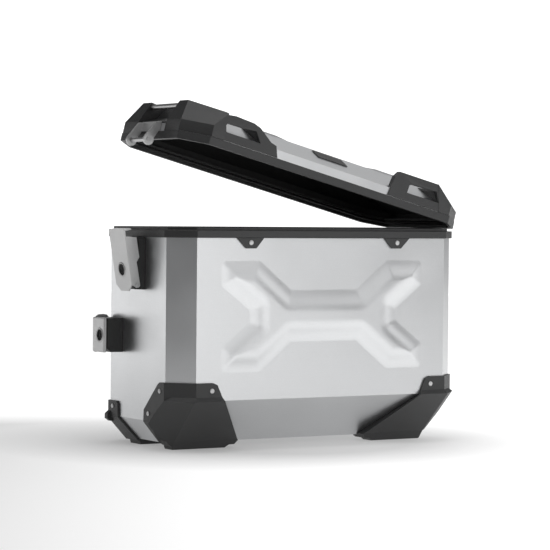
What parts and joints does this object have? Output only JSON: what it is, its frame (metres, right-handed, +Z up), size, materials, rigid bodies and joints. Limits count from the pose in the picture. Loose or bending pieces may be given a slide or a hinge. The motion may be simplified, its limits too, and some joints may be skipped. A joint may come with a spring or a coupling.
{
  "type": "motorcycle luggage case",
  "caption": "Hard aluminium motorcycle case with an end-hinged lid, keyed hook latches at both ends, moulded corner protectors, lashing loops and a carrier lock.",
  "frame": {"origin": "on the floor under the middle of the overall size as pictured, with the left lever unhooked; the box itself is centred at X +6 mm", "axes": "+X from the lid's free end towards its hinge end, -Y the outer embossed face, +Y the motorcycle side, +Z up"},
  "size_m": [0.5627, 0.2551, 0.5145],
  "materials": {
    "aluminium_sheet": "satin anodised sheet",
    "cast_silver": "cast, silver-grey coat",
    "rivet_alloy": "satin",
    "steel": "brushed",
    "black_plastic": "fine grained, matt",
    "dark_plastic": "matt",
    "seal_rubber": "matt"
  },
  "bodies": {
    "case": {"carrier_lock_housing": "dark_plastic", "case_shell": "aluminium_sheet", "latch_base_left": "dark_plastic", "latch_base_right": "dark_plastic", "latch_pin_left": "steel", "latch_pin_right": "steel", "mount_puck_lower_left": "dark_plastic", "mount_puck_lower_right": "dark_plastic", "mount_puck_upper_left": "dark_plastic", "mount_puck_upper_right": "dark_plastic", "protector_back_left": "black_plastic", "protector_back_right": "black_plastic", "protector_front_left": "black_plastic", "protector_front_right": "black_plastic", "rim_frame": "black_plastic", "rivet_back_end_left": "rivet_alloy", "rivet_back_end_right": "rivet_alloy", "rivet_back_face_left": "rivet_alloy", "rivet_back_face_right": "rivet_alloy", "rivet_front_end_lower_left": "rivet_alloy", "rivet_front_end_lower_right": "rivet_alloy", "rivet_front_end_upper_left": "rivet_alloy", "rivet_front_end_upper_right": "rivet_alloy", "rivet_front_face_left": "rivet_alloy", "rivet_front_face_right": "rivet_alloy", "rivet_tab_back_left": "rivet_alloy", "rivet_tab_back_right": "rivet_alloy", "rivet_tab_front_left": "rivet_alloy", "rivet_tab_front_right": "rivet_alloy"},
    "lid": {"carry_bar": "steel", "catch_bracket_left": "cast_silver", "catch_bracket_right": "cast_silver", "catch_rod_left": "steel", "catch_rod_right": "steel", "lid_corner_back_left": "black_plastic", "lid_corner_back_right": "black_plastic", "lid_corner_front_left": "black_plastic", "lid_corner_front_right": "black_plastic", "lid_end_cover_left": "black_plastic", "lid_end_cover_right": "black_plastic", "lid_frame": "black_plastic", "lid_inlay": "dark_plastic", "lid_liner": "dark_plastic", "lid_panel": "aluminium_sheet", "lid_seal": "seal_rubber"},
    "latch_left": {"latch_lever_left": "cast_silver"},
    "key_left": {"latch_lock_left": "steel", "latch_cam_left": "steel"},
    "latch_right": {"latch_lever_right": "cast_silver"},
    "key_right": {"latch_lock_right": "steel", "latch_cam_right": "steel"},
    "carrier_latch": {"carrier_lock_lever": "cast_silver", "carrier_lock_pin": "steel", "carrier_lock_hook": "cast_silver"},
    "carrier_key": {"carrier_lock_barrel": "steel"}
  },
  "joints": [
    {"name": "lid_hinge", "type": "hinge", "parent": "case", "child": "lid", "pos_m": [0.273, 0, 0.32], "axis": [0, 1, 0], "range_deg": [-14.85, 60]},
    {"name": "left_latch", "type": "hinge", "parent": "case", "child": "latch_left", "pos_m": [-0.258, 0, 0.243], "axis": [0, -1, 0], "range_deg": [-9.5, 50]},
    {"name": "right_latch", "type": "hinge", "parent": "case", "child": "latch_right", "pos_m": [0.27, 0, 0.243], "axis": [0, 1, 0], "range_deg": [0, 50]},
    {"name": "left_key", "type": "hinge", "parent": "latch_left", "child": "key_left", "pos_m": [-0.2672, 0, 0.26529], "axis": [-0.9863, 0, -0.165], "range_deg": [0, 90]},
    {"name": "right_key", "type": "hinge", "parent": "latch_right", "child": "key_right", "pos_m": [0.2754, 0, 0.2665], "axis": [1, 0, 0], "range_deg": [0, 90]},
    {"name": "carrier_latch_hinge", "type": "hinge", "parent": "case", "child": "carrier_latch", "pos_m": [-0.264, 0.067, 0.144], "axis": [0, -1, 0], "range_deg": [0, 45]},
    {"name": "carrier_key_turn", "type": "hinge", "parent": "carrier_latch", "child": "carrier_key", "pos_m": [-0.269, 0.062, 0.1652], "axis": [-1, 0, 0], "range_deg": [0, 90]}
  ]
}
